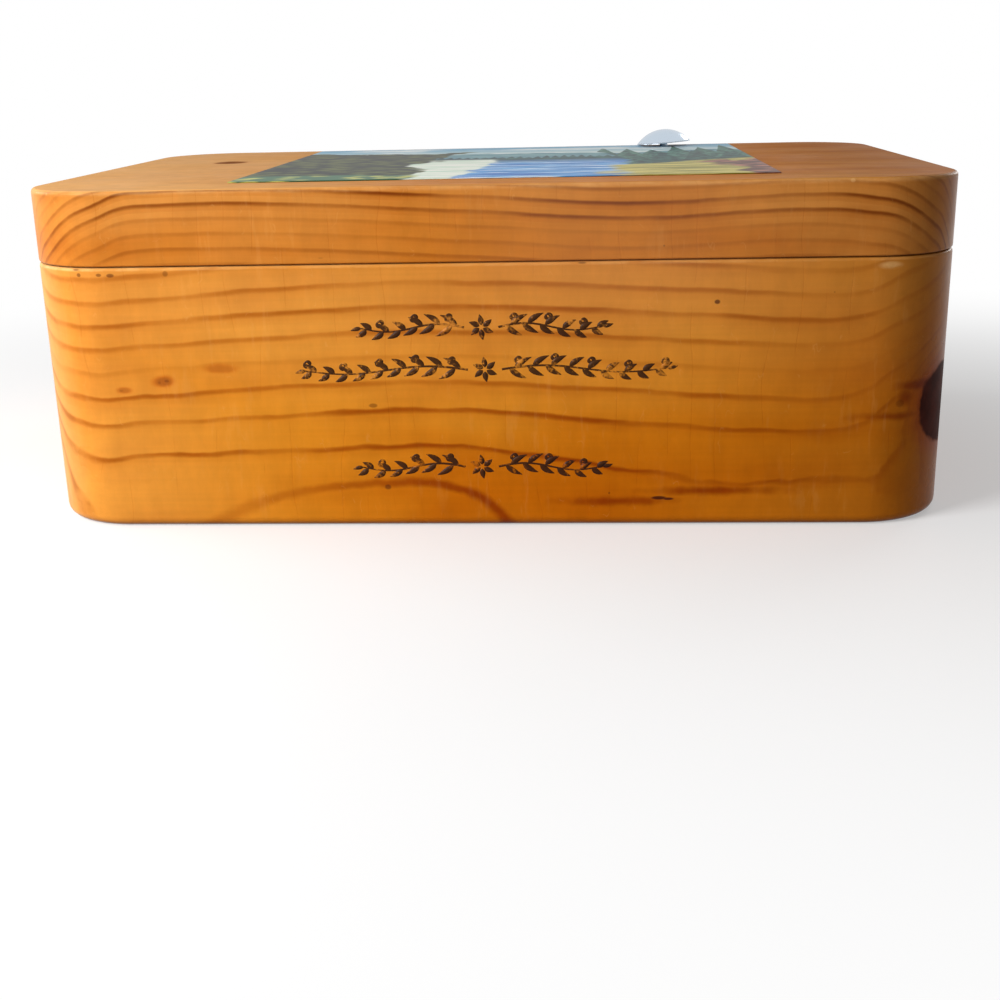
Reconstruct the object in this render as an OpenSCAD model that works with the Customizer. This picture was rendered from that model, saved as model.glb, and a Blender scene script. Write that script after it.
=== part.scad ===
// Hinged souvenir box: a hollowed pine block with a thick pine lid, a glossy picture on the lid,
// two small butt hinges screwed to the back and a dome-head tack.
// Millimetres. The origin is the middle of the underside, +X to the right, +Y to the back, +Z up.

/* [Box] */
// Length of the box, left to right
box_w = 177; // [140:1:240]
// Depth of the box, front to back
box_d = 118; // [90:1:160]
// Radius of the four upright corners
corner_r = 17; // [12:0.5:24]
// Height of the hollowed base, up to the seam
base_h = 51; // [36:1:80]
// Thickness of the lid board
lid_t = 14; // [13:0.5:20]

/* [Edges] */
// Rounding of the base's bottom edge
foot_round = 2; // [1:0.25:3]
// Rounding of the base's outer edge at the seam
seam_round = 0.8; // [0.4:0.1:1.2]
// Rounding of the lid's outer edge at the seam
lid_seam_round = 0.5; // [0.3:0.1:1]
// Rounding of the lid's top edge
lid_top_round = 0.8; // [0.5:0.1:2.4]

/* [Hollow] */
// Thickness of the walls
wall = 12; // [9.5:0.5:16]
// Thickness of the floor
floor_t = 9; // [6:0.5:12]
// Radius of the hollow's upright corners
hollow_r = 9; // [7:0.5:14]
// Radius of the cove between walls and floor
cove_r = 4; // [2:0.5:6]

/* [Picture] */
// Bare lid to the left of the picture
print_left_margin = 39; // [20:0.5:50]
// Bare lid to the right of the picture
print_right_margin = 33; // [20:0.5:50]
// Bare lid in front of the picture
print_front_margin = 13; // [5:0.5:30]
// Bare lid behind the picture
print_back_margin = 5; // [4:0.5:30]
// Thickness of the varnished paper
print_t = 0.2; // [0.15:0.05:0.4]

/* [Hinges] */
// Distance of each hinge's middle from the box's end
hinge_inset = 40.5; // [32:0.5:52]
// Length of a hinge along its pin
hinge_w = 26; // [20:1:34]
// Height of one leaf, from the pin's centre to its free edge
leaf_h = 11; // [9:0.5:12]
// Thickness of the leaf's sheet
leaf_t = 1; // [0.8:0.1:1.2]
// Diameter of the hinge pin
pin_dia = 2; // [1.6:0.1:2.2]
// Thickness of the metal rolled round the pin
knuckle_wall = 0.85; // [0.7:0.05:1.1]
// Length of the middle knuckle, which belongs to the lid's leaf
mid_knuckle = 9; // [7:0.5:11]
// How far each end of the pin stands out of the knuckles
pin_end = 0.4; // [0.2:0.1:0.8]

/* [Screws] */
// Distance of a screw from the end of its leaf
screw_inset = 5; // [4:0.5:6]
// Height of the screws above or below the pin's centre
screw_rise = 6.6; // [5.6:0.1:7]
// Diameter of the screw's shank
screw_dia = 1.9; // [1.6:0.1:2.2]
// Diameter of the flat head
screw_head_dia = 3.6; // [3:0.1:4]
// Length of the screw, head included
screw_len = 8; // [6:0.5:9]
// Width of the driver slot
slot_w = 0.5; // [0.4:0.05:0.7]
// Depth of the driver slot
slot_depth = 0.4; // [0.3:0.05:0.5]

/* [Tack] */
// Distance of the tack from the box's right end
tack_from_end = 49.5; // [40:0.5:70]
// Distance of the tack from the box's back face
tack_from_back = 8.6; // [8:0.1:10.5]
// Diameter of the domed head
tack_head_dia = 13.5; // [10:0.5:14]
// Height of the dome
tack_dome_h = 3.3; // [2:0.1:4]
// Thickness of the head's sheet
tack_sheet = 0.6; // [0.4:0.1:0.8]
// Diameter of the nail under the head
tack_nail_dia = 2; // [1.6:0.1:2.4]
// Length of nail driven into the lid
tack_bite = 9; // [6:0.5:11]
// Gap between the lid and the lowest point of the head's rim
tack_gap = 0.45; // [0.4:0.05:1]
// Lean of the tack to the left, in degrees
tack_lean = 4; // [0:0.5:5]
// Lean of the tack to the back, in degrees
tack_tip = 1; // [0:0.5:8]

/* [Fits] */
// Radial clearance of the pin and of screws and nail in their holes
fit_gap = 0.05; // [0.03:0.01:0.08]
// Gap between neighbouring knuckles, and round them
knuckle_gap = 0.2; // [0.15:0.05:0.35]
// Spare depth at the bottom of a screw's or nail's hole
hole_spare = 0.5; // [0.3:0.1:0.8]

/* [Hidden] */
$fn = 64;

// How far a cut runs past the face that it opens
cut_margin = 1;
box_h = base_h + lid_t;
back_y = box_d / 2;
print_w = box_w - print_left_margin - print_right_margin;
print_d = box_d - print_front_margin - print_back_margin;
hinge_x = box_w / 2 - hinge_inset;
screw_x = hinge_w / 2 - screw_inset;
pin_r = pin_dia / 2;
knuckle_r = pin_r + fit_gap + knuckle_wall;
// The pin lies just far enough behind the back face for the knuckles to clear the wood.
pin_y = back_y + knuckle_r + knuckle_gap / 2;
notch_h = knuckle_r + 2 * knuckle_gap;
side_knuckle = (hinge_w - mid_knuckle) / 2 - knuckle_gap;
side_knuckle_x = (hinge_w - side_knuckle) / 2;
// The lid's leaf is cut away from each side knuckle out past its own end.
side_notch = side_knuckle + knuckle_gap + cut_margin;
side_notch_x = (hinge_w + 2 * cut_margin - side_notch) / 2;
shank_r = screw_dia / 2;
head_r = screw_head_dia / 2;
// A flat head tapers at 45 degrees down to the shank.
head_h = head_r - shank_r;
nail_r = tack_nail_dia / 2;
nail_tip = 2 * nail_r;
tack_x = box_w / 2 - tack_from_end;
// Angle between the leaning nail and the upright, and how far up the nail the rim's plane lies
tack_tilt = acos(cos(tack_lean) * cos(tack_tip));
tack_rise = (tack_gap + tack_head_dia / 2 * sin(tack_tilt)) / cos(tack_tilt);
// Radius of the sphere that the tack's dome is a cap of
dome_r = (pow(tack_head_dia / 2, 2) + pow(tack_dome_h, 2)) / (2 * tack_dome_h);

pine = "#d98f3d";
print_blue = "#7fa3b8";
brass = "#b8964a";
nickel = "#c9ccd2";

// Half of a slab's edge in section: reach outwards, height, and the rounding of its low and high edge.
module edge_section(reach, h, low_round, high_round) {
  translate([0, low_round]) square([reach, h - low_round - high_round]);
  if (low_round > 0) {
    square([reach - low_round, low_round]);
    translate([reach - low_round, low_round]) circle(low_round);
  }
  if (high_round > 0) {
    translate([0, h - high_round]) square([reach - high_round, high_round]);
    translate([reach - high_round, h - high_round]) circle(high_round);
  }
}

// A slab on z = 0 with round upright corners, and with its low and high edges rounded all the way round.
module rounded_slab(w, d, h, r, low_round, high_round) {
  inner_w = w - 2 * r;
  inner_d = d - 2 * r;
  translate([-inner_w / 2, -inner_d / 2, 0]) cube([inner_w, inner_d, h]);
  for (quarter = [0 : 3]) {
    run = quarter % 2 == 0 ? inner_d : inner_w;
    out = quarter % 2 == 0 ? inner_w / 2 : inner_d / 2;
    rotate(90 * quarter) translate([out, run / 2, 0]) {
      rotate([90, 0, 0]) linear_extrude(run) edge_section(r, h, low_round, high_round);
      rotate_extrude(angle = 90) edge_section(r, h, low_round, high_round);
    }
  }
}

// Places its children at a hinge's middle, on the pin's centreline.
module at_hinge(side) {
  translate([side * hinge_x, pin_y, base_h]) children();
}

// Places its children at a screw's place on the leaf's outer face, with +Z pointing out of the wood.
// way is 1 on the lid and -1 on the base, end is -1 or 1 along the pin.
module at_screw(side, way, end) {
  translate([
    side * hinge_x + end * screw_x,
    back_y + leaf_t,
    base_h + way * screw_rise
  ]) rotate([-90, 0, 0]) children();
}

// The countersunk holes of a hinge's leaf, which run on into the wood.
module screw_holes(side, way) {
  hole_r = shank_r + fit_gap;
  depth = screw_len + hole_spare;
  for (end = [-1, 1]) at_screw(side, way, end) {
    translate([0, 0, -depth]) cylinder(h = depth + cut_margin, r = hole_r);
    translate([0, 0, -head_h]) cylinder(h = head_h, r1 = hole_r, r2 = head_r + fit_gap);
  }
}

module at_tack() {
  translate([tack_x, back_y - tack_from_back, box_h]) rotate([-tack_tip, -tack_lean, 0]) children();
}

module base_block() {
  color(pine) difference() {
    rounded_slab(box_w, box_d, base_h, corner_r, foot_round, seam_round);
    translate([0, 0, floor_t])
      rounded_slab(box_w - 2 * wall, box_d - 2 * wall, base_h - floor_t + cut_margin, hollow_r, cove_r, 0);
    for (side = [-1, 1]) screw_holes(side, -1);
  }
}

module lid_board() {
  color(pine) difference() {
    translate([0, 0, base_h])
      rounded_slab(box_w, box_d, lid_t, corner_r, lid_seam_round, lid_top_round);
    for (side = [-1, 1]) screw_holes(side, 1);
    at_tack() translate([0, 0, -tack_bite - hole_spare])
      cylinder(h = tack_bite + hole_spare + cut_margin, r = nail_r + fit_gap);
  }
}

// The sheet, with a hole where the tack's nail goes through it.
module lid_print() {
  color(print_blue) difference() {
    translate([print_left_margin - box_w / 2, print_front_margin - box_d / 2, box_h])
      cube([print_w, print_d, print_t]);
    at_tack() translate([0, 0, -cut_margin]) cylinder(h = print_t + 2 * cut_margin, r = nail_r + fit_gap);
  }
}

// The dome's section, from its middle to its rim: a strip of sheet bent to the dome's radius.
module dome_section() {
  intersection() {
    difference() {
      circle(dome_r);
      circle(dome_r - tack_sheet);
    }
    translate([0, dome_r - tack_dome_h]) square([tack_head_dia, tack_dome_h]);
  }
}

// A pressed dome on a nail.
module lid_tack() {
  color(nickel) at_tack() {
    translate([0, 0, tack_rise + tack_dome_h - dome_r]) rotate_extrude() dome_section();
    translate([0, 0, nail_tip - tack_bite])
      cylinder(h = tack_bite - nail_tip + tack_rise + tack_dome_h - tack_sheet / 2, r = nail_r);
    translate([0, 0, -tack_bite]) cylinder(h = nail_tip, r1 = 0, r2 = nail_r);
  }
}

// One knuckle: a tube round the pin, of that length, centred x along the pin.
module knuckle(x, len) {
  translate([x - len / 2, 0, 0]) rotate([0, 90, 0]) cylinder(h = len, r = knuckle_r);
}

module pin_bore() {
  translate([-hinge_w / 2 - cut_margin, 0, 0]) rotate([0, 90, 0])
    cylinder(h = hinge_w + 2 * cut_margin, r = pin_r + fit_gap);
}

// The flat of a leaf, from the pin's centre up, with its wood side on the back face.
module leaf_plate() {
  translate([-hinge_w / 2, back_y - pin_y, 0]) cube([hinge_w, leaf_t, leaf_h]);
}

// Room in a leaf for the other leaf's knuckle, centred x along the pin.
module knuckle_notch(x, len) {
  translate([x - len / 2, back_y - pin_y - cut_margin, -notch_h])
    cube([len, pin_y - back_y + cut_margin + knuckle_r + cut_margin, 2 * notch_h]);
}

module hinge_lid_leaf(side) {
  color(brass) difference() {
    at_hinge(side) difference() {
      union() {
        leaf_plate();
        knuckle(0, mid_knuckle);
      }
      for (end = [-1, 1]) knuckle_notch(end * side_notch_x, side_notch);
      pin_bore();
    }
    screw_holes(side, 1);
  }
}

module hinge_base_leaf(side) {
  color(brass) difference() {
    at_hinge(side) difference() {
      union() {
        mirror([0, 0, 1]) leaf_plate();
        for (end = [-1, 1]) knuckle(end * side_knuckle_x, side_knuckle);
      }
      knuckle_notch(0, mid_knuckle + 2 * knuckle_gap);
      pin_bore();
    }
    screw_holes(side, -1);
  }
}

module hinge_pin(side) {
  len = hinge_w + 2 * pin_end;
  color(brass) at_hinge(side) translate([-len / 2, 0, 0]) rotate([0, 90, 0]) cylinder(h = len, r = pin_r);
}

// A flat-head slotted wood screw, its head flush with the leaf.
module hinge_screw(side, way, end) {
  color(brass) at_screw(side, way, end) difference() {
    union() {
      translate([0, 0, -head_h]) cylinder(h = head_h, r1 = shank_r, r2 = head_r);
      translate([0, 0, head_r - screw_len]) cylinder(h = screw_len - head_r - head_h, r = shank_r);
      translate([0, 0, -screw_len]) cylinder(h = head_r, r1 = 0, r2 = shank_r);
    }
    translate([-head_r - cut_margin, -slot_w / 2, -slot_depth])
      cube([2 * (head_r + cut_margin), slot_w, slot_depth + cut_margin]);
  }
}

base_block();
lid_board();
lid_print();
lid_tack();
for (side = [-1, 1]) {
  hinge = side < 0 ? "left_hinge_" : "right_hinge_";
  hinge_base_leaf(side);
  hinge_lid_leaf(side);
  hinge_pin(side);
  for (end = [-1, 1]) {
    letter = end < 0 ? "a" : "b";
    hinge_screw(side, -1, end);
    hinge_screw(side, 1, end);
  }
}
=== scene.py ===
# %% [markdown]
# # A varnished pine keepsake box
#
# This lesson dresses a small hinged box. The construction already exists as a CAD model: a hollowed pine
# block, a thick lid, two butt hinges with their screws, a paper picture and a dome-head tack. Blender adds
# what a construction drawing leaves out: growth rings that run through the whole block, amber varnish, ink,
# paper, aged brass and the small roundings that catch the light.

import math

import bmesh
import bpy
from mathutils import Matrix, Vector


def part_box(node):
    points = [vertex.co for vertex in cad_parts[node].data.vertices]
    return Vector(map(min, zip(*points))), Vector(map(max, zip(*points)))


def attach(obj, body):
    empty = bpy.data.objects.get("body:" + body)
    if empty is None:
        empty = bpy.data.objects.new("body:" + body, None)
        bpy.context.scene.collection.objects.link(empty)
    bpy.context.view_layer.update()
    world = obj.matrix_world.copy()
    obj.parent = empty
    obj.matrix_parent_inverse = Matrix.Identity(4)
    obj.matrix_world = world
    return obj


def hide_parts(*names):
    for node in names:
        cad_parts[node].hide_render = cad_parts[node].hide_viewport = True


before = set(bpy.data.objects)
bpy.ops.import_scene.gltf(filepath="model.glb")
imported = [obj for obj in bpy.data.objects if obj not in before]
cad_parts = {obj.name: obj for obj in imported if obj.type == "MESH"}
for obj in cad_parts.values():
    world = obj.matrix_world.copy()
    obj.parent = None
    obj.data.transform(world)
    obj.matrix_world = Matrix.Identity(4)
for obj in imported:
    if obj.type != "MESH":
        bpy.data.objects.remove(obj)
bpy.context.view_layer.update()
scene = bpy.context.scene
MM = 0.001
base_low, base_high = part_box("base_block")
lid_low, lid_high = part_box("lid_board")

# %% [markdown]
# ## The camera
#
# The view is the one of a phone held close to the box, a little above the lid and a little to the right, and
# rolled by about a degree. A camera turned step by step is easy to read: first the compass direction about Z,
# then the tilt about its own X, then the roll about the line of sight.

# %% Camera
CAMERA_PLACE = Vector((18.7, -309.8, 84.75)) * MM
CAMERA_TURN = math.radians(3.75)
CAMERA_DOWN = math.radians(17.55)
CAMERA_ROLL = math.radians(-1.33)
SENSOR_WIDTH = 36.0
FOCAL_LENGTH = 49.07


def new_object(name, data):
    """An object that shows some data, linked to the scene."""
    made = bpy.data.objects.new(name, data)
    scene.collection.objects.link(made)
    return made


camera_data = bpy.data.cameras.new("camera")
camera_data.sensor_width = SENSOR_WIDTH
camera_data.lens = FOCAL_LENGTH
camera_data.clip_start = 10 * MM
camera = new_object("camera", camera_data)
camera.matrix_world = (
    Matrix.Translation(CAMERA_PLACE)
    @ Matrix.Rotation(CAMERA_TURN, 4, "Z")
    @ Matrix.Rotation(math.pi / 2 - CAMERA_DOWN, 4, "X")
    @ Matrix.Rotation(CAMERA_ROLL, 4, "Z")
)
scene.camera = camera
scene.view_settings.view_transform = "Standard"
print("camera", tuple(round(c / MM, 1) for c in camera.location), "mm")

# %% [markdown]
# ## Writing materials as formulas
#
# A wood grain needs dozens of nodes. Wiring each by hand hides the idea, so a small class adds a node per
# call and hands back its output. A material then reads like arithmetic: distance from the pith, rings per
# distance, colour per ring.

# %% A node recipe


class Recipe:
    """Adds nodes to a tree. Most methods return an output socket, which the next call can take."""

    def __init__(self, tree):
        self.tree = tree

    def feed(self, socket, value):
        if isinstance(value, bpy.types.NodeSocket):
            self.tree.links.new(value, socket)
        else:
            socket.default_value = value

    def add(self, kind, inputs=(), output=0, **settings):
        node = self.tree.nodes.new(kind)
        for name, value in settings.items():
            setattr(node, name, value)
        for key, value in dict(inputs).items():
            self.feed(node.inputs[key], value)
        return node.outputs[output]

    def math(self, operation, *values, clamp=False):
        return self.add("ShaderNodeMath", enumerate(values), operation=operation, use_clamp=clamp)

    def vector(self, operation, *values):
        answer = "Value" if operation in ("LENGTH", "DOT_PRODUCT") else "Vector"
        return self.add("ShaderNodeVectorMath", enumerate(values), answer, operation=operation)

    def scaled(self, vector, factor):
        return self.add("ShaderNodeVectorMath", {"Vector": vector, "Scale": factor}, operation="SCALE")

    def fade(self, value, start, end, low=0.0, high=1.0):
        """A smooth step: low where value is at start, high where it is at end."""
        inputs = enumerate((value, start, end, low, high))
        return self.add("ShaderNodeMapRange", inputs, interpolation_type="SMOOTHSTEP")

    def noise(self, place, scale, detail=2.0, roughness=0.5):
        inputs = {"Vector": place, "Scale": scale, "Detail": detail, "Roughness": roughness}
        return self.add("ShaderNodeTexNoise", inputs)

    def grain(self, place, stretch, detail=2.0, roughness=0.5):
        """A noise with stretched cells: stretch says how many a millimetre has along x, y and z."""
        return self.noise(self.vector("MULTIPLY", place, stretch), 1.0, detail, roughness)

    def ramp(self, value, slope, start):
        """A straight line: start plus slope times value."""
        return self.math("MULTIPLY_ADD", value, slope, start)

    def minus(self, first, second):
        return self.math("SUBTRACT", first, second)

    def times(self, first, *others):
        """All values multiplied."""
        for other in others:
            first = self.math("MULTIPLY", first, other)
        return first

    def most(self, first, *others):
        """The largest of all values."""
        for other in others:
            first = self.math("MAXIMUM", first, other)
        return first

    def from_middle(self, place, middle, radii):
        """How far a point lies from a middle, in parts of the radii."""
        away = self.vector("DIVIDE", self.vector("SUBTRACT", place, middle), radii)
        return self.vector("LENGTH", away)

    def mix(self, factor, first, second, blend="MIX"):
        # A Mix node also mixes numbers and vectors. Inputs 6 and 7 and output 2 are its colours.
        inputs = {0: factor, 6: first, 7: second}
        return self.add("ShaderNodeMix", inputs, 2, data_type="RGBA", blend_type=blend)

    def tint(self, factor, colour, glaze):
        """A colour seen through a coloured glaze."""
        return self.mix(factor, colour, glaze, "MULTIPLY")

    def shade(self, share, colour):
        """A colour made darker or lighter by a share near 1."""
        grey = self.add("ShaderNodeCombineColor", enumerate((share, share, share)))
        return self.tint(1.0, colour, grey)

    def axes(self, place):
        node = self.tree.nodes.new("ShaderNodeSeparateXYZ")
        self.feed(node.inputs[0], place)
        return node.outputs[:]

    def place_mm(self):
        """Where a point is on the object, in millimetres."""
        return self.scaled(self.add("ShaderNodeTexCoord", output="Object"), 1 / MM)

    def curve(self, value, reach, swing, points):
        """A smooth curve through points (value, height). Reach and swing are the largest of each."""
        share = self.ramp(value, 0.5 / reach, 0.5)
        node = self.tree.nodes.new("ShaderNodeFloatCurve")
        drawn = node.mapping.curves[0].points
        for _ in range(len(points) - len(drawn)):
            drawn.new(0.5, 0.5)
        for point, (along, height) in zip(drawn, points):
            point.location = (0.5 + 0.5 * along / reach, 0.5 + 0.5 * height / swing)
        node.mapping.update()
        self.feed(node.inputs["Value"], share)
        return self.ramp(node.outputs[0], 2 * swing, -swing)


# %% Colours and materials


def rgb(red, green, blue):
    """A colour as a picture editor gives it, 0 to 255, made linear for the renderer."""
    def linear(share):
        return share / 12.92 if share <= 0.04045 else ((share + 0.055) / 1.055) ** 2.4

    return (linear(red / 255), linear(green / 255), linear(blue / 255), 1.0)


def new_material(name):
    """A material with a Principled shader: the material, its recipe, its shader and the place in mm."""
    material = bpy.data.materials.new(name)
    material.use_nodes = True
    r = Recipe(material.node_tree)
    return material, r, r.tree.nodes["Principled BSDF"], r.place_mm()


# %% [markdown]
# ## Pine as a solid
#
# The box is cut from the solid, and its growth rings prove it: they run round the corners without a break. A
# picture wrapped on the faces would break there. So the grain is a field in space. Each point has a distance
# from the pith, the line at the tree's heart, and the distance says which year's ring it lies in.
#
# Branches come first. A knot is an ellipsoid that the rings bend round, with a reddish collar. Pitch spots
# are only dark.

# %% Knots


def bend_at_knots(r, board, place, ragged):
    """The place bent by the knots, and how much each point is knot and collar."""
    bent, knot, collar = place, 0.0, 0.0
    for middle, radii, reach, depth, soft in board["knots"]:
        near = r.ramp(ragged, 0.12 + 2 * soft, r.from_middle(place, middle, radii))
        grip = r.math("EXPONENT", r.math("DIVIDE", r.minus(1.0, near), reach))
        grip = r.math("DIVIDE", grip, r.most(near, 1.0), clamp=True)
        bent = r.vector("SUBTRACT", bent, r.scaled(r.vector("SUBTRACT", place, middle), grip))
        knot = r.most(knot, r.fade(near, 1 + soft, 1 - soft, 0.0, depth))
        collar = r.most(collar, r.fade(near, 1.5 + soft, 0.9, 0.0, min(1.0, depth + 0.4)))
    for middle, radii, depth in board["pitch"]:
        knot = r.most(knot, r.fade(r.from_middle(place, middle, radii), 1.3, 0.7, 0.0, depth))
    return bent, knot, collar


# %% [markdown]
# The age of the wood follows from its distance to the pith. Rings may widen with age, and some boards have
# more rings far out. Two noises make the rings waver. Each year ends in a dark line, drawn as wide as the
# saw's angle to the ring makes it, and some lines are bold.

# %% Rings
HEART_R = 6.0
# Each noise: its cells a millimetre along x, y and z, and how many years it shifts a ring.
WAVERS = [((0.03, 0.05, 0.05), 0.25), ((0.12, 0.25, 0.25), 0.16)]


def age_of(r, board, place, radius):
    """The year in which the wood at a radius grew, and how many years a millimetre holds there."""
    grown = r.minus(radius, board["first_line"])
    first_width, widening = board["ring_width"]
    if widening:
        later = r.most(grown, -HEART_R)
        width = r.math("SQRT", r.ramp(later, 4 * widening, first_width ** 2))
        age = r.math("DIVIDE", r.minus(width, first_width), 2 * widening)
        inside = r.math("MINIMUM", r.math("ADD", grown, HEART_R), 0.0)
        age = r.ramp(inside, 0.5, age)
    else:
        width = first_width
        age = r.math("DIVIDE", grown, width)
    old_radius, rate = board["old_years"]
    late = r.minus(radius, old_radius)
    age = r.ramp(r.most(late, 0.0), rate, age)
    per_mm = r.math("DIVIDE", 1.0, r.most(width, 0.5))
    per_mm = r.ramp(r.math("GREATER_THAN", late, 0.0), rate, per_mm)
    for stretch, years in WAVERS:
        age = r.ramp(r.minus(r.grain(place, stretch), 0.5), years, age)
    return age, per_mm


def year_lines(r, board, age, share_of_mm, shown):
    """The dark line that ends each year, sharper on its outer side, and the summer wood before it."""
    nearest = r.math("ROUND", age)
    past = r.minus(age, nearest)
    inner_mm, outer_mm = board["line_mm"]
    inner = r.math("MINIMUM", r.times(share_of_mm, inner_mm), 0.28)
    outer = r.math("MINIMUM", r.times(share_of_mm, outer_mm), 0.2)
    chance = r.add("ShaderNodeTexWhiteNoise", {"W": nearest}, noise_dimensions="1D")
    from_bold = r.math("ABSOLUTE", r.minus(nearest, board["bold_line"]))
    faint = r.ramp(chance, 1.1 * board["faint"], 0.4 * board["faint"])
    bold = r.times(r.fade(from_bold, board["bold_reach"], 0.0, faint, 0.9), shown)
    stop = r.fade(past, outer, r.times(outer, 0.1))
    rise = r.fade(past, r.times(inner, -1.0), r.times(inner, -0.1))
    tail = r.fade(past, r.times(inner, -3.0), 0.0)
    return r.times(rise, stop, bold), r.times(tail, stop, bold)


# %% [markdown]
# Resin darkens the wood in streaks, and a ring that the front only grazes shows as an arch.

# %% Resin and arches


def resin_marks(r, board, place, ragged):
    """How much each point is streak or arch."""
    marks = 0.0
    for middle, radii, depth in board["streaks"]:
        near = r.ramp(ragged, 1.2, r.from_middle(place, middle, radii))
        marks = r.most(marks, r.fade(near, 1.4, 0.15, 0.0, depth))
    for middle, (left, right, back, up), wide, depth in board["arches"]:
        away_x, away_y, away_z = r.axes(r.vector("SUBTRACT", place, middle))
        reach = r.ramp(r.math("GREATER_THAN", away_x, 0.0), right - left, left)
        shares = [r.math("DIVIDE", *pair) for pair in ((away_x, reach), (away_y, back), (away_z, up))]
        out = r.vector("LENGTH", r.add("ShaderNodeCombineXYZ", enumerate(shares)))
        off = r.math("ABSOLUTE", r.minus(r.ramp(ragged, 0.08, out), 1.0))
        arch = r.fade(off, wide, 0.1 * wide, 0.0, depth)
        arch = r.times(arch, r.fade(away_x, -left, right, 0.4, 1.0), r.fade(away_y, 5.0, 2.0))
        marks = r.most(marks, arch)
    return marks


# %% [markdown]
# The colour builds up as on the real wood: a ground that wanders between two tones, paler on the upper left
# under a painted sheen and a deeper amber low on the front as painted shade, then the summer wood and the
# line of each year, then the fibre, the darker end grain, painted shade on the right end and knots.

# %% The ground colour
# The pale colour of a painted sheen, where light and reflections fall on the upper left.
SHEEN_COLOUR = rgb(250, 205, 135)


def ground_colour(r, board, place, x, z):
    """The wood's colour before the rings are drawn on it, with a painted sheen and painted shade laid in."""
    broad = r.grain(place, (0.012, 0.03, 0.03), 3.0)
    colour = r.mix(r.fade(broad, 0.36, 0.64), board["spring"], board["honey"])
    cloud = r.grain(place, (0.04, 0.12, 0.12), 3.0)
    colour = r.tint(r.fade(cloud, 0.45, 0.7, 0.0, 0.5), colour, board["summer"])
    # Painted sheen: paler towards the top and the left, most at the left end, where the light falls.
    low, high, left, share = board["painted_sheen"]
    upper = r.times(r.fade(z, low, high), r.fade(x, 90, left, 0.75, 1.0))
    painted_sheen = r.most(upper, r.fade(x, -30, -84, 0.0, 0.8), r.fade(x, -72, -88, 0.0, 2.2))
    colour = r.mix(r.times(painted_sheen, share), colour, SHEEN_COLOUR)
    # Painted shade: a deeper amber low on the front, away from the left end and weaker at the right end.
    amber = r.times(r.fade(z, low + 8, low - 10), r.fade(x, -60, 0), r.fade(x, 85, 40, 0.3, 1.0))
    return r.tint(amber, colour, board["amber"])


# %% A pine board
# The pith's curves: how far they reach along x and how far they may swing, in mm.
PITH_REACH = 100.0
PITH_SWING = 10.0
END_GLAZE = rgb(244, 236, 186)
RIGHT_SHADE_GLAZE = rgb(176, 146, 112)
# The glaze of the painted shade that darkens the right end.
COLLAR_GLAZE = rgb(224, 160, 96)


def pine_board(name, board):
    """A node group that colours a board by its rings. Outputs: colour, fibre, knot."""
    group = bpy.data.node_groups.new(name, "ShaderNodeTree")
    for output, kind in (("Color", "Color"), ("Fibre", "Float"), ("Knot", "Float")):
        group.interface.new_socket(output, in_out="OUTPUT", socket_type="NodeSocket" + kind)
    r = Recipe(group)
    place = r.place_mm()
    ragged = r.minus(r.noise(place, 0.3, 2.0), 0.5)
    bent, knot, collar = bend_at_knots(r, board, place, ragged)

    # Distance from the pith, which wanders along the trunk, and the age at that distance.
    x, y, z = r.axes(bent)
    pith_y = r.math("ADD", r.curve(x, PITH_REACH, PITH_SWING, board["sway"]), board["pith"][0])
    pith_z = r.math("ADD", r.curve(x, PITH_REACH, PITH_SWING, board["heave"]), board["pith"][1])
    across = r.minus(y, pith_y)
    above = r.minus(z, pith_z)
    from_pith = r.add("ShaderNodeCombineXYZ", {"Y": across, "Z": above})
    age, per_mm = age_of(r, board, place, r.vector("LENGTH", from_pith))

    # How steeply the saw cut the rings: 1 square through them, 0 along them.
    normal = r.add("ShaderNodeTexCoord", output="Normal")
    along = r.vector("DOT_PRODUCT", r.vector("NORMALIZE", from_pith), normal)
    steep = r.math("SQRT", r.minus(1.0, r.times(along, along)))

    # Lines gather in places. They are weak below the pith, on the ends, where grazed and under the painted
    # shade of the right end.
    gather = r.fade(r.grain(place, (0.04, 0.2, 0.2), 3.0), 0.32, 0.62, 0.4, 1.0)
    heartside = r.most(r.fade(above, -1.5, 1.0), r.fade(across, -24, -16))
    facing_end = r.math("ABSOLUTE", r.axes(normal)[0])
    # The right end is darkened by painted shade, which also hides its lines.
    right_shade_start, right_shade_full, right_shade_share, right_shade_hides = board["right_shade"]
    right_shade = r.fade(x, right_shade_start, right_shade_full)
    shown = r.times(gather, heartside, r.fade(facing_end, 0.15, 0.9, 1.0, 0.65),
                    r.fade(steep, 0.0, 0.25, 0.55, 1.0), r.ramp(right_shade, -right_shade_hides, 1.0))
    line, summer = year_lines(r, board, age, r.times(steep, per_mm), shown)
    line = r.most(line, resin_marks(r, board, place, ragged))

    colour = ground_colour(r, board, place, x, z)
    colour = r.tint(summer, colour, board["summer"])
    colour = r.tint(line, colour, board["line"])
    fibre = r.grain(place, (0.03, 1.2, 1.2), 3.0, 0.6)
    colour = r.shade(r.fade(fibre, 0.25, 0.75, 0.975, 1.025), colour)
    colour = r.tint(r.fade(facing_end, 0.5, 1.0, 0.0, 0.45), colour, END_GLAZE)
    # Painted shade on the right end.
    colour = r.tint(r.times(right_shade, right_shade_share), colour, RIGHT_SHADE_GLAZE)
    colour = r.tint(r.times(collar, 0.7), colour, COLLAR_GLAZE)
    heart = r.mix(r.fade(r.noise(place, 0.22, 3.0), 0.35, 0.7), board["knot"], board["knot_pale"])
    colour = r.mix(knot, colour, heart)

    ends = group.nodes.new("NodeGroupOutput")
    for output, value in zip(ends.inputs, (colour, fibre, knot)):
        r.feed(output, value)
    print(name, "has", len(group.nodes), "nodes")
    return group


# %% [markdown]
# The base's pith runs low behind its front, so its rings rise round the corners. The lid's board comes from
# the outside of a thicker trunk, whose pith lay far in front of the box and below it, so its rings fall at
# the corners. All lengths are in millimetres.

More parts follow.
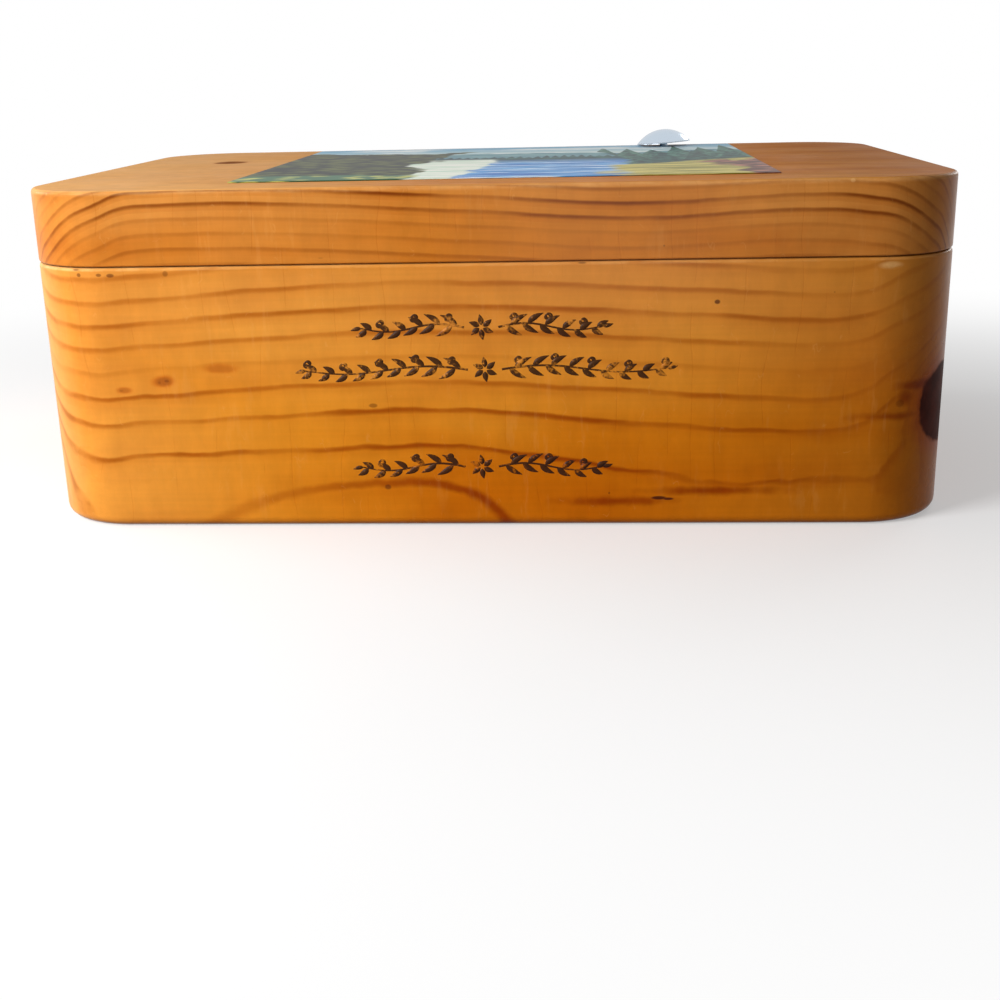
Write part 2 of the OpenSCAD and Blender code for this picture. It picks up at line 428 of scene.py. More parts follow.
# %% The base's board
FRONT = base_low.y / MM
BASE_PINE = pine_board("base_pine", {
    # Each knot: middle, radii, how far it pushes the rings in radii, how dark and how soft it is.
    "knots": [
        ((88.0, -49.5, 22.0), (9.0, 9.0, 8.0), 0.6, 1.0, 0.06),
        ((-61.5, FRONT, 29.2), (1.5, 2.0, 0.8), 2.0, 0.36, 0.4),
        ((-69.5, FRONT, 27.6), (1.1, 2.0, 0.5), 2.0, 0.24, 0.4),
        ((-50.5, FRONT, 31.6), (2.2, 2.0, 0.6), 2.0, 0.16, 0.5),
    ],
    # Each pitch spot or streak of resin: middle, radii and how dark it is.
    "pitch": [
        ((-61.0, FRONT, 29.3), (0.5, 1.0, 0.3), 0.6),
        ((-62.4, FRONT, 29.0), (0.3, 1.0, 0.3), 0.5),
        ((-70.0, FRONT, 27.5), (0.4, 1.0, 0.2), 0.4),
        ((32.8, FRONT, 5.6), (1.4, 2.0, 0.35), 0.9),
        ((34.6, FRONT, 5.4), (1.0, 2.0, 0.25), 0.9),
        ((43.0, FRONT, 43.2), (0.5, 1.0, 0.4), 0.8),
        ((-21.5, FRONT, 24.2), (0.8, 1.0, 0.4), 0.5),
        ((-19.4, FRONT, 8.0), (0.6, 1.0, 0.5), 0.6),
        ((-76.0, -58.4, 49.6), (0.4, 1.5, 0.35), 0.6),
        ((-72.0, FRONT, 49.6), (0.5, 1.0, 0.3), 0.6),
        ((-69.8, FRONT, 49.5), (0.7, 1.0, 0.35), 0.65),
        ((-59.3, FRONT, 49.7), (0.5, 1.0, 0.5), 0.4),
        ((77.4, -58.0, 23.6), (0.8, 2.0, 0.7), 0.3),
    ],
    "streaks": [
        ((43.0, FRONT, 7.0), (13.0, 3.0, 1.0), 1.0),
        ((25.0, FRONT, 5.0), (11.0, 3.0, 1.0), 0.95),
        ((80.0, -56.7, 26.8), (4.5, 4.0, 1.2), 0.95),
        ((78.2, -57.6, 24.6), (1.6, 3.0, 2.2), 0.9),
        ((76.0, -58.0, 21.2), (8.0, 4.0, 0.9), 0.9),
    ],
    # Each arch: middle, reach to the left, right, back and up, its width in shares of the reach, how dark.
    "arches": [((-14.0, FRONT, -4.0), (42.0, 19.0, 12.0, 13.0), 0.1, 1.0)],
    # The pith's y and z, and how it sways in y and heaves in z at places along x.
    "pith": (FRONT + 34.0, 3.5),
    "sway": [(-100, 9), (-85, 4.5), (-70, 0), (-50, 0.5), (-10, 0.5), (45, 2), (70, 2), (85, 5), (100, 6)],
    "heave": [(-100, -2), (-65, -1.5), (-45, 0.5), (15, 1.5), (45, 0.5), (65, -0.5), (80, 4), (100, 5)],
    "first_line": 33.7,
    # Width of the first ring and how the next ones widen; where more rings come, and how many a mm.
    "ring_width": (2.5, 0.07),
    "old_years": (60.0, 0.3),
    # Each line's soft and sharp side; the boldest line, how far boldness reaches, how dark the others are.
    "line_mm": (1.0, 0.65),
    "bold_line": 0.8,
    "bold_reach": 3.2,
    "faint": 0.56,
    # Painted shade on the right end from x to x, how dark and how far it hides lines; painted sheen from z to
    # z and to x, and how strong.
    "right_shade": (33.0, 88.0, 0.58, 0.65),
    "painted_sheen": (16.0, 48.0, -80.0, 0.15),
    "amber": rgb(238, 218, 150),
    "spring": rgb(218, 136, 32),
    "honey": rgb(210, 122, 15),
    "summer": rgb(240, 228, 200),
    "line": rgb(194, 152, 70),
    "knot": rgb(56, 20, 14),
    "knot_pale": rgb(78, 32, 24),
})

# %% The lid's board
LID_PINE = pine_board("lid_pine", {
    "knots": [((-64.6, 17.0, 65.0), (3.6, 4.6, 4.0), 0.9, 0.8, 0.2)],
    "pitch": [((-64.8, 17.4, 65.0), (1.5, 1.9, 2.0), 0.95)],
    "streaks": [],
    "arches": [],
    "pith": (-204.0, -24.0),
    "sway": [(-100, 0), (0, 0), (100, 0)],
    "heave": [(-100, 9), (-85, 4), (-77, 0.5), (-64, 3.5), (0, 1.5), (30, 0), (62, 1), (76, 0), (84, 3),
              (100, 9)],
    "first_line": 169.5,
    "ring_width": (1.3, 0),
    "old_years": (400.0, 0.0),
    "line_mm": (0.8, 0.45),
    "bold_line": -1.4,
    "bold_reach": 2.0,
    "faint": 0.34,
    "right_shade": (40.0, 92.0, 0.5, 0.0),
    "painted_sheen": (51.0, 66.0, -80.0, 0.02),
    "amber": rgb(255, 250, 240),
    "spring": rgb(212, 138, 62),
    "honey": rgb(200, 118, 36),
    "summer": rgb(232, 212, 182),
    "line": rgb(150, 108, 54),
    "knot": rgb(84, 44, 22),
    "knot_pale": rgb(120, 68, 34),
})

# %% [markdown]
# ## Varnish over the wood
#
# Old gloss varnish is a thin amber film that has crazed and worn pale on the edges, with a painted highlight
# mixed into that pale wear. The colour below it is the board's, so the material asks the board's group for
# it.
# Fine upright cracks and the fibre tilt the surface a little, dirt and painted shade darken the joint where
# lid and base meet, a darker line runs along the foot, and small knocks have gone dark. A painted sheen,
# painted shade and a painted reflection also lie in its colour. The lid's top has been handled and wiped
# most, so its gloss is the weakest.

# %% Specks, scratches and cracks


def board_nodes(r, board):
    """Adds a board's group to a material and returns its outputs by name."""
    node = r.tree.nodes.new("ShaderNodeGroup")
    node.node_tree = board
    return node.outputs


def specks(r, place, scale, size, depth):
    """Scattered dots: one for each cell of a field with scale cells a millimetre."""
    cell = r.add("ShaderNodeTexVoronoi", {"Vector": place, "Scale": scale})
    return r.fade(cell, size, 0.4 * size, 0.0, depth)


def hairlines(r, place, depth):
    """Thin scratches: the contour lines of a noise, shown only here and there."""
    field = r.math("ABSOLUTE", r.minus(r.noise(place, 1.0, 1.0), 0.5))
    return r.times(r.fade(field, 0.02, 0.004), r.fade(r.noise(place, 0.9), 0.6, 0.7, 0.0, depth))


def upright_cracks(r, place):
    """Fine cracks that run up the sides about every 5 mm, wander a little and break off."""
    x, y = r.axes(place)[:2]
    wander = r.grain(place, (0.05, 0.05, 0.03))
    cell = r.ramp(r.math("ADD", x, y), 0.21, r.times(wander, 1.6))
    off = r.math("ABSOLUTE", r.minus(r.math("FRACT", cell), 0.5))
    return r.times(r.fade(off, 0.03, 0.008), r.fade(r.grain(place, (0.3, 0.3, 0.07)), 0.5, 0.6))


# %% Varnished pine
SEAM = base_high.z / MM
TOP = lid_high.z / MM
RUB_PLACE = (74.0, -58.8, 49.4)
RUB_SIZE = (2.4, 2.0, 0.8)
AMBER_GLOSS = (1.0, 0.75, 0.45, 1.0)


def bump(r, shader, height, distance, strength):
    """Lets a height, given in parts of distance, tilt the surface of a shader."""
    normal = r.add("ShaderNodeBump", {"Strength": strength, "Distance": distance, "Height": height})
    r.feed(shader.inputs["Normal"], normal)


def varnished(name, board):
    """Pine under old varnish, from the wood's own colour up to the gloss."""
    material, r, shader, place = new_material(name)
    wood = board_nodes(r, board)
    x, z = r.axes(place)[::2]
    level = r.axes(r.add("ShaderNodeTexCoord", output="Normal"))[2]
    worn = r.fade(level, 0.6, 0.98)
    patchy = r.grain(place, (0.2, 0.2, 0.6), 4.0, 0.65)
    clear = r.minus(1.0, wood["Knot"])

    # The top is pale on the left under a painted sheen, and grows yellower and a little darker towards the
    # right.
    painted_top_sheen = r.times(worn, clear, r.fade(x, 40, -80, 0.0, 0.6))
    colour = r.mix(painted_top_sheen, wood["Color"], rgb(228, 180, 118))
    rightward_tone = r.times(worn, r.fade(x, 20, 80, 0.0, 0.5))
    colour = r.tint(rightward_tone, colour, rgb(236, 246, 184))

    # Pale wear with a painted highlight on the base's upper lip, strongest at the left end, and on the lid's
    # upper edge, small chips there and one rubbed spot.
    lip = r.times(r.fade(z, SEAM - 0.9, SEAM - 0.5), r.fade(z, SEAM + 0.1, SEAM - 0.2),
                  r.fade(patchy, 0.35, 0.62, 0.1, 0.55), r.fade(x, -40, -80, 0.3, 1.0))
    edge = r.times(r.fade(z, TOP - 1.2, TOP - 0.4), r.fade(level, 0.98, 0.8))
    chips = r.times(specks(r, place, 0.22, 0.14, 0.5), edge)
    rim = r.times(edge, r.fade(patchy, 0.35, 0.65, 0.1, 0.28))
    rubbed = r.fade(r.from_middle(place, RUB_PLACE, RUB_SIZE), 1.2, 0.4, 0.0, 0.5)
    rubbed = r.times(rubbed, r.fade(patchy, 0.3, 0.6))
    colour = r.mix(r.most(lip, rim, chips, rubbed), colour, rgb(242, 194, 128))

    # Dirt and painted shade in the joint, a darker line along the foot, and knocks gone dark, most of them
    # near the joint.
    to_seam = r.math("ABSOLUTE", r.minus(z, SEAM))
    knocks = specks(r, r.vector("MULTIPLY", place, (0.1, 0.1, 0.4)), 1.0, 0.1, 0.6)
    dirt_and_shade = r.most(r.fade(to_seam, 0.3, 0.08, 0.0, 0.6), r.fade(z, 1.3, 0.2, 0.0, 0.45),
                  specks(r, place, 0.07, 0.02, 0.6), r.times(knocks, r.fade(to_seam, 2.4, 1.0)))
    colour = r.mix(dirt_and_shade, colour, rgb(74, 38, 14))

    # Crazing: upright cracks in the film, fine strokes between them, a few hair scratches, and a pale painted
    # reflection over the upper part right of the middle.
    craze = r.grain(place, (0.7, 0.7, 0.12), 3.0, 0.6)
    film = r.grain(place, (0.06, 0.06, 0.04), 3.0)
    net = r.times(upright_cracks(r, place), r.minus(1.0, worn))
    colour = r.tint(r.times(net, 0.2), colour, rgb(220, 190, 130))
    strokes = r.times(r.fade(craze, 0.55, 0.7, 0.0, 0.06), r.fade(film, 0.4, 0.65))
    nicks = hairlines(r, r.vector("MULTIPLY", place, (0.5, 0.5, 0.25)), 0.1)
    colour = r.mix(r.times(r.most(strokes, nicks), clear), colour, rgb(244, 190, 116))
    uneven = r.grain(place, (0.25, 0.25, 0.1), 4.0, 0.65)
    colour = r.shade(r.fade(uneven, 0.3, 0.7, 0.95, 1.05), colour)
    # Painted reflection: a pale haze over the upper part right of the middle.
    painted_reflection = r.times(r.fade(x, -15, 20, 0.0, 0.06), r.fade(x, 70, 30), r.fade(z, 34, 54))
    colour = r.mix(painted_reflection, colour, rgb(236, 200, 170))
    r.feed(shader.inputs["Base Color"], colour)

    # Gloss is weak on the top and in knots.
    rough = r.fade(r.noise(place, 0.05, 4.0, 0.6), 0.3, 0.7, 0.26, 0.4)
    rough = r.ramp(wood["Knot"], 0.2, r.ramp(worn, 0.2, rough))
    r.feed(shader.inputs["Roughness"], rough)
    gloss = r.times(r.ramp(worn, -0.07, 0.09), r.ramp(clear, 0.7, 0.3))
    r.feed(shader.inputs["Specular IOR Level"], gloss)
    shader.inputs["Specular Tint"].default_value = AMBER_GLOSS
    height = r.ramp(wood["Fibre"], 0.3, r.times(craze, 0.3))
    bump(r, shader, r.ramp(net, -0.4, height), 0.05 * MM, 0.5)
    return material


BASE_VARNISH = varnished("base_varnish", BASE_PINE)
LID_VARNISH = varnished("lid_varnish", LID_PINE)
print("varnished:", BASE_VARNISH.name, LID_VARNISH.name)

# %% Bare pine


def set_gloss(shader, roughness, specular):
    """The same roughness and strength of reflection all over."""
    shader.inputs["Roughness"].default_value = roughness
    shader.inputs["Specular IOR Level"].default_value = specular


def bare(name, board):
    """Planed wood without varnish, paler and dull, as inside the box."""
    material, r, shader, place = new_material(name)
    wood = board_nodes(r, board)
    dust = r.noise(place, 0.04, 4.0, 0.6)
    pale = r.mix(r.fade(dust, 0.3, 0.7, 0.3, 0.5), wood["Color"], rgb(232, 190, 134))
    r.feed(shader.inputs["Base Color"], pale)
    set_gloss(shader, 0.72, 0.25)
    marks = r.grain(place, (0.3, 0.3, 1.4))
    bump(r, shader, r.ramp(wood["Fibre"], 0.6, marks), 0.12 * MM, 0.6)
    return material


BASE_BARE = bare("base_bare_pine", BASE_PINE)
LID_BARE = bare("lid_bare_pine", LID_PINE)
print("bare:", BASE_BARE.name, LID_BARE.name)

# %% [markdown]
# ## The base block
#
# On the bench this is a block sawn to a rounded rectangle, hollowed with a round-nosed cutter and eased along
# every edge. The mesh is made the same way: a cube, its upright edges bevelled to the corner radius, its rims
# bevelled again to the small roundings. The hollow is a second such block turned inside out, and bridging the
# two rims makes the top of the wall.

# %% Block helpers
TINY = 0.02 * MM
CORNER_R = 17 * MM
CORNER_STEPS = 20


def round_edges(bm, edges, radius, steps):
    bmesh.ops.bevel(
        bm, geom=edges, offset=radius, offset_type="OFFSET", segments=steps,
        profile=0.5, affect="EDGES", material=-1,
    )


def rounded_block(low, high, radius):
    """A block between two corners, with its upright edges rounded."""
    bm = bmesh.new()
    place = Matrix.Translation((low + high) / 2) @ Matrix.Diagonal(high - low).to_4x4()
    bmesh.ops.create_cube(bm, size=1.0, matrix=place)
    upright = [e for e in bm.edges if abs(e.verts[0].co.z - e.verts[1].co.z) > TINY]
    round_edges(bm, upright, radius, CORNER_STEPS)
    return bm


def rim_edges(bm, height):
    """The edges at a height where a level face meets an upright one."""
    def is_rim(edge):
        level = all(abs(v.co.z - height) < TINY for v in edge.verts)
        return level and any(abs(f.normal.z) < 0.5 for f in edge.link_faces)

    bm.normal_update()
    return [e for e in bm.edges if is_rim(e)]


def round_rim(bm, height, radius, steps):
    round_edges(bm, rim_edges(bm, height), radius, steps)


def face_outwards(bm):
    bmesh.ops.recalc_face_normals(bm, faces=bm.faces[:])


def finished(bm, name, body, nodes, materials):
    """Turns a bmesh into a piece that rides on a body and stands for CAD nodes."""
    mesh = bpy.data.meshes.new(name)
    bm.to_mesh(mesh)
    bm.free()
    for material in materials:
        mesh.materials.append(material)
    mesh.shade_smooth()
    piece = new_object(name, mesh)
    weighted = piece.modifiers.new("weighted_normals", "WEIGHTED_NORMAL")
    weighted.keep_sharp = True
    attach(piece, body)
    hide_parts(*nodes)
    print(name, len(mesh.polygons), "faces")


# %% Base block
WALL = 12 * MM
FLOOR_T = 9 * MM
HOLLOW_R = 9 * MM
COVE_R = 4 * MM
FOOT_ROUND = 2 * MM
SEAM_ROUND = 0.8 * MM
MOUTH_ROUND = 0.7 * MM


def base_piece():
    bm = rounded_block(base_low, base_high, CORNER_R)
    round_rim(bm, base_low.z, FOOT_ROUND, steps=5)
    round_rim(bm, base_high.z, SEAM_ROUND, steps=4)
    hollow_low = base_low + Vector((WALL, WALL, FLOOR_T))
    hollow_high = Vector((base_high.x - WALL, base_high.y - WALL, base_high.z))
    hollow = rounded_block(hollow_low, hollow_high, HOLLOW_R)
    round_rim(hollow, hollow_low.z, COVE_R, steps=6)
    bmesh.ops.reverse_faces(hollow, faces=hollow.faces[:])
    inside_out = bpy.data.meshes.new("hollow")
    hollow.to_mesh(inside_out)
    hollow.free()
    bm.from_mesh(inside_out)
    bpy.data.meshes.remove(inside_out)

    bm.normal_update()
    tops = [f for f in bm.faces
            if abs(f.normal.z) > 0.9 and f.calc_center_median().z > base_high.z - TINY]
    bmesh.ops.delete(bm, geom=tops, context="FACES_ONLY")
    bmesh.ops.bridge_loops(bm, edges=[e for e in bm.edges if e.is_boundary])

    def over_hollow(spot, margin):
        return abs(spot.x) < hollow_high.x + margin and abs(spot.y) < hollow_high.y + margin

    mouth = [e for e in rim_edges(bm, base_high.z) if over_hollow(e.verts[0].co, TINY)]
    round_edges(bm, mouth, MOUTH_ROUND, steps=3)
    face_outwards(bm)
    for face in bm.faces:
        spot = face.calc_center_median()
        on_wall = face.normal.z > 0.99 and spot.z > base_high.z - TINY
        under = face.normal.z < -0.99 and spot.z < base_low.z + TINY
        is_bare = over_hollow(spot, MOUTH_ROUND) or on_wall or under
        face.material_index = 1 if is_bare else 0
    finished(bm, "base_wood", "base", ["base_block"], [BASE_VARNISH, BASE_BARE])


base_piece()

# %% [markdown]
# ## The lid
#
# The lid is a plain board of the same outline. Its edges are only eased, the lower one a little less than the
# upper, so that it closes on the base with a fine groove.

# %% Lid board
LID_TOP_ROUND = 0.8 * MM
LID_SEAM_ROUND = 0.5 * MM


def lid_piece():
    bm = rounded_block(lid_low, lid_high, CORNER_R)
    round_rim(bm, lid_high.z, LID_TOP_ROUND, steps=5)
    round_rim(bm, lid_low.z, LID_SEAM_ROUND, steps=3)
    bm.normal_update()
    for face in bm.faces:
        face.material_index = 1 if face.normal.z < -0.99 else 0
    finished(bm, "lid_wood", "lid", ["lid_board"], [LID_VARNISH, LID_BARE])


lid_piece()

# %% [markdown]
# ## Ink on the front
#
# Boxes like this were stamped or brushed with black ink before the last coat of varnish. Three rows of leafy
# scrolls stand on the front. Each stroke is a curve. The tendrils' width follows their direction, as a broad
# nib's does: thick when it moves across the nib, thin along it. The curves become one mesh, pressed almost
# flat on the wood.

# %% Pen strokes
NIB_THIN = 0.15
NIB_WIDE = 0.42
NIB_ANGLE = math.radians(40)


def add_stroke(curve, points, widths):
    """Draws one stroke through points (x, z) with half widths, all in mm."""
    spline = curve.splines.new("NURBS")
    spline.points.add(len(points) - 1)
    spline.order_u = 3
    spline.use_endpoint_u = True
    spline.resolution_u = 2
    for knot, (px, pz), width in zip(spline.points, points, widths):
        knot.co = (px * MM, 0.0, pz * MM, 1.0)
        knot.radius = width


def nib_widths(points):
    """Half widths for a broad nib, thinner at the ends where it is set down and lifted."""
    widths = []
    last = len(points) - 1
    for i in range(len(points)):
        (x0, z0), (x1, z1) = points[max(i - 1, 0)], points[min(i + 1, last)]
        heading = math.atan2(z1 - z0, x1 - x0)
        press = abs(math.sin(heading - NIB_ANGLE))
        ends = min(1.0, 0.35 + 5.0 * min(i, last - i) / last)
        widths.append((NIB_THIN + (NIB_WIDE - NIB_THIN) * press) * ends)
    return widths


# %% Leaves and tendrils
LEAF_STEPS = 7
CURL_STEPS = 20


def add_leaf(curve, x, z, angle, length, swell, bend):
    """A leaf: one short stroke that swells, bends and runs out."""
    points, widths = [], []
    for i in range(LEAF_STEPS + 1):
        s = i / LEAF_STEPS
        aside = bend * length * s * s
        points.append((x + length * s * math.cos(angle) - aside * math.sin(angle),
                       z + length * s * math.sin(angle) + aside * math.cos(angle)))
        widths.append(0.07 + swell * math.sin(math.pi * s ** 0.75))
    add_stroke(curve, points, widths)


def add_curl(curve, x, z, size, start, turns, hand):
    """A tendril that winds in from its outer end."""
    points = []
    for i in range(CURL_STEPS + 1):
        s = i / CURL_STEPS
        angle = start + hand * 2 * math.pi * turns * s
        reach = size * (1 - 0.82 * s)
        points.append((x + reach * math.cos(angle), z + reach * math.sin(angle)))
    add_stroke(curve, points, nib_widths(points))


# %% Sprigs and rosettes
SPRIG_SWAY = 0.7
SPRIG_LEAF = 3.7
SPRIG_ANGLE = 0.85
SPRIG_SWELL = 0.58
SPRIG_BEND = 0.3
TIP_LEAF = 2.0
STEM_WIDTH = 0.25
STEM_TAPER = 0.1
STEM_STEPS = 24


def add_sprig(curve, start, end, level, pairs):
    """A laurel sprig from start to end: a swaying stem, pairs of leaves that shorten, a leaf at the tip."""
    span = end - start
    forward = 0.0 if span > 0 else math.pi
    hand = 1 if span > 0 else -1

    def stem(s):
        return start + span * s, level + SPRIG_SWAY * math.sin(2 * math.pi * s)

    steps = range(STEM_STEPS + 1)
    widths = [STEM_WIDTH - STEM_TAPER * i / STEM_STEPS for i in steps]
    add_stroke(curve, [stem(i / STEM_STEPS) for i in steps], widths)
    for pair in range(pairs):
        s = (pair + 0.55) / pairs
        x, z = stem(s)
        length = SPRIG_LEAF * (1 - 0.4 * s)
        for side in (1, -1):
            turn = hand * side
            angle = forward + turn * SPRIG_ANGLE
            add_leaf(curve, x + side * 0.5, z, angle, length, SPRIG_SWELL, -turn * SPRIG_BEND)
        if pair % 2 == 0:
            add_curl(curve, x + 0.32 * span / pairs, z + 1.5, 0.75, -math.pi / 2, 1.3, hand)
    x, z = stem(1.0)
    add_leaf(curve, x, z, forward, TIP_LEAF, 0.4, 0.2)


def add_rosette(curve, x, z, size):
    for petal in range(6):
        angle = math.pi / 6 + petal * math.pi / 3
        add_leaf(curve, x + 0.4 * math.cos(angle), z + 0.4 * math.sin(angle), angle, size, 0.55, 0.15)


# %% Ink scrolls
INK_FLAT = 0.06
SPRIG_IN = 3.2
ROSETTE_R = 2.0
# Each row: middle x, level, reach to each side, pairs of leaves a side.
SCROLL_ROWS = [(-0.5, 39.0, 24.5, 6), (0.0, 31.0, 36.0, 9), (-1.0, 12.0, 25.0, 6)]


def ink_material():
    """Old ink: nearly black, broken where it has flaked, so that the board's own colour shows."""
    material, r, shader, place = new_material("worn_ink")
    wood = board_nodes(r, BASE_PINE)
    crumbs = r.noise(place, 1.8, 4.0, 0.65)
    flaked = r.ramp(r.noise(place, 0.22, 3.0, 0.6), 0.6, r.times(crumbs, 0.4))
    ink = r.fade(flaked, 0.62, 0.5, 0.15, 0.95)
    r.feed(shader.inputs["Base Color"], r.mix(ink, wood["Color"], rgb(44, 22, 10)))
    set_gloss(shader, 0.4, 0.1)
    return material


def ink_piece():
    curve = bpy.data.curves.new("ink_curve", "CURVE")
    curve.dimensions = "3D"
    curve.bevel_depth = 1.0 * MM
    curve.bevel_resolution = 1
    curve.use_fill_caps = True
    for middle, level, reach, pairs in SCROLL_ROWS:
        add_rosette(curve, middle, level, ROSETTE_R)
        for hand in (1, -1):
            add_sprig(curve, middle + hand * SPRIG_IN, middle + hand * (reach - TIP_LEAF), level, pairs)
    drawing = bpy.data.objects.new("ink_drawing", curve)
    mesh = bpy.data.meshes.new_from_object(drawing)
    bpy.data.objects.remove(drawing)
    bpy.data.curves.remove(curve)
    mesh.transform(Matrix.Translation((0, base_low.y, 0)) @ Matrix.Diagonal((1, INK_FLAT, 1, 1)))
    mesh.name = "ink_scrolls"
    mesh.materials.clear()
    mesh.materials.append(ink_material())
    mesh.shade_smooth()
    piece = new_object("ink_scrolls", mesh)
    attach(piece, "base")
    print("ink_scrolls", len(mesh.polygons), "faces")


ink_piece()

# %% [markdown]
# ## The picture on the lid
#
# A colour print was pasted on the lid and varnished over. Ours is a plain landscape of a lake between trees,
# painted by formula: each part is a mask on the sheet's own width and depth, filled with colours that a noise
# breaks up. The sheet is flat, and the slight ripple from the paste is only a bump in its material.

# %% Painting the lake
print_low, print_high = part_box("lid_print")


def lake_material():
    material, r, shader, place = new_material("lake_print")
    x, y = r.axes(place)[:2]
    middle = (print_low + print_high) / 2 / MM
    size = (print_high - print_low) / MM
    across = r.math("DIVIDE", r.minus(x, middle.x), size.x / 2)
    depth = r.math("DIVIDE", r.minus(y, print_low.y / MM), size.y)
    speckle = r.noise(place, 0.5, 4.0, 0.65)
    strokes = r.grain(place, (0.06, 0.6, 1.0), 4.0, 0.6)
    drift = r.minus(r.noise(place, 0.05, 3.0), 0.5)
    tiles = r.vector("MULTIPLY", place, (0.2, 0.26, 0.0))
    crown = r.add("ShaderNodeTexVoronoi", {"Vector": tiles, "Scale": 1.0})
    tuft = r.ramp(speckle, 0.5, crown)

    def between(value, low, high, first, second):
        return r.mix(r.fade(value, low, high), first, second)

    def below(outline, soft=0.012):
        return r.fade(r.minus(depth, outline), soft, -soft)

    def lay(under, paint, *masks):
        return r.mix(r.times(*masks), under, paint)

    def firs(rate, low, tall, seed):
        """The outline of a row of firs: a point for each tree, some taller than others."""
        row = r.ramp(across, rate, seed)
        point = r.math("PINGPONG", row, 0.5)
        growth = r.add("ShaderNodeTexWhiteNoise", {"W": r.math("FLOOR", row)}, noise_dimensions="1D")
        growth = r.ramp(growth, 1.2 * tall, 0.8 * tall)
        return r.ramp(point, growth, r.ramp(drift, 0.15, low))

    # Sky with clouds, and two ranges of hills.
    cloud = r.grain(place, (0.03, 0.08, 1.0), 4.0, 0.6)
    colour = between(depth, 0.65, 1.0, rgb(212, 228, 220), rgb(104, 168, 200))
    colour = lay(colour, rgb(238, 243, 240), r.fade(cloud, 0.48, 0.64, 0.0, 0.9))
    slopes = r.grain(place, (0.12, 0.3, 1.0), 4.0, 0.6)
    far = r.ramp(drift, 0.45, r.ramp(across, 0.06, 0.72))
    colour = lay(colour, between(slopes, 0.4, 0.6, rgb(84, 130, 146), rgb(122, 164, 168)), below(far))
    near = firs(26.0, 0.56, 0.07, 3.0)
    colour = lay(colour, between(tuft, 0.4, 0.9, rgb(56, 106, 98), rgb(18, 56, 62)), below(near))

    # The lake, with ripples and the dark mirror of the far shore.
    water = between(strokes, 0.35, 0.6, rgb(8, 84, 180), rgb(104, 180, 234))
    water = lay(water, rgb(244, 250, 255), r.fade(strokes, 0.54, 0.66))
    water = lay(water, rgb(20, 66, 88), r.fade(depth, 0.38, 0.5, 0.0, 0.8))
    colour = lay(colour, water, below(0.5, 0.006))

    # Left shore: a pale beach in strokes, then broad-leaved trees with round crowns.
    left = r.ramp(drift, 0.5, r.ramp(tuft, 0.06, across))
    left = r.ramp(r.minus(depth, 0.3), -0.25, left)
    beach = between(strokes, 0.4, 0.6, rgb(206, 228, 206), rgb(252, 252, 240))
    colour = lay(colour, beach, r.fade(left, -0.02, -0.06), below(0.53, 0.02))
    canopy = r.ramp(tuft, -0.09, r.ramp(drift, 0.5, 0.9))
    trees = between(tuft, 0.3, 0.95, rgb(98, 104, 46), rgb(10, 16, 8))
    colour = lay(colour, trees, r.fade(left, -0.3, -0.34), below(canopy))

    # Right shore: two rows of firs behind a meadow, and bushes in autumn colour.
    right = r.ramp(drift, -0.6, across)
    right = r.ramp(r.minus(depth, 0.3), 0.2, right)
    boughs = r.grain(place, (0.5, 0.25, 1.0), 4.0, 0.65)
    sunlit = between(boughs, 0.36, 0.62, rgb(14, 50, 52), rgb(74, 126, 106))
    colour = lay(colour, sunlit, r.fade(right, 0.48, 0.54), below(firs(9.0, 0.66, 0.3, 7.0)))
    shaded = between(boughs, 0.36, 0.66, rgb(8, 36, 40), rgb(46, 96, 84))
    colour = lay(colour, shaded, r.fade(right, 0.54, 0.6), below(firs(7.0, 0.44, 0.36, 5.0)))
    bank = r.ramp(across, 0.3, r.ramp(drift, 0.2, 0.16))
    meadow = between(strokes, 0.38, 0.62, rgb(140, 130, 44), rgb(228, 212, 116))
    colour = lay(colour, meadow, r.fade(right, 0.34, 0.44), below(bank, 0.015))
    autumn = between(tuft, 0.3, 0.9, rgb(196, 128, 104), rgb(92, 52, 42))
    bushes = r.ramp(tuft, -0.12, r.ramp(drift, 0.3, 0.48))
    colour = lay(colour, autumn, r.fade(right, 0.78, 0.84), below(bushes))
    reeds = between(tuft, 0.35, 0.8, rgb(204, 202, 104), rgb(62, 104, 76))
    shallows = r.ramp(drift, 0.3, 0.12)
    colour = lay(colour, reeds, r.fade(left, -0.24, -0.3), below(shallows, 0.02))
    r.feed(shader.inputs["Base Color"], colour)
    set_gloss(shader, 0.3, 0.02)
    bump(r, shader, r.noise(place, 0.08, 3.0), 0.1 * MM, 0.4)
    return material


# %% Lake print
SHEET_COLUMNS = 52
SHEET_ROWS = 46


def thicken(bm, shift):
    """Makes a flat mesh thick by a shift and returns the vertices of its far side."""
    made = bmesh.ops.extrude_face_region(bm, geom=bm.faces[:])["geom"]
    far = [v for v in made if isinstance(v, bmesh.types.BMVert)]
    bmesh.ops.translate(bm, verts=far, vec=shift)
    return far


def print_piece():
    bm = bmesh.new()
    bmesh.ops.create_grid(bm, x_segments=SHEET_COLUMNS, y_segments=SHEET_ROWS, size=0.5)
    size = print_high - print_low
    middle = (print_high + print_low) / 2
    spread = Matrix.Diagonal((size.x, size.y, 1, 1))
    lift = Matrix.Translation((middle.x, middle.y, print_high.z))
    bmesh.ops.transform(bm, verts=bm.verts[:], matrix=lift @ spread)
    face_outwards(bm)
    thicken(bm, (0, 0, print_low.z - print_high.z))
    face_outwards(bm)
    finished(bm, "lake_print", "lid", ["lid_print"], [lake_material()])


print_piece()

# %% [markdown]
# ## Metal
#
# The hinges are brass gone brown in patches, and the tack is bright nickel with wiping scratches. Both are
# metals, so their colour is the colour of their reflection: tarnish darkens it and roughens it at once.

# %% Brass and nickel


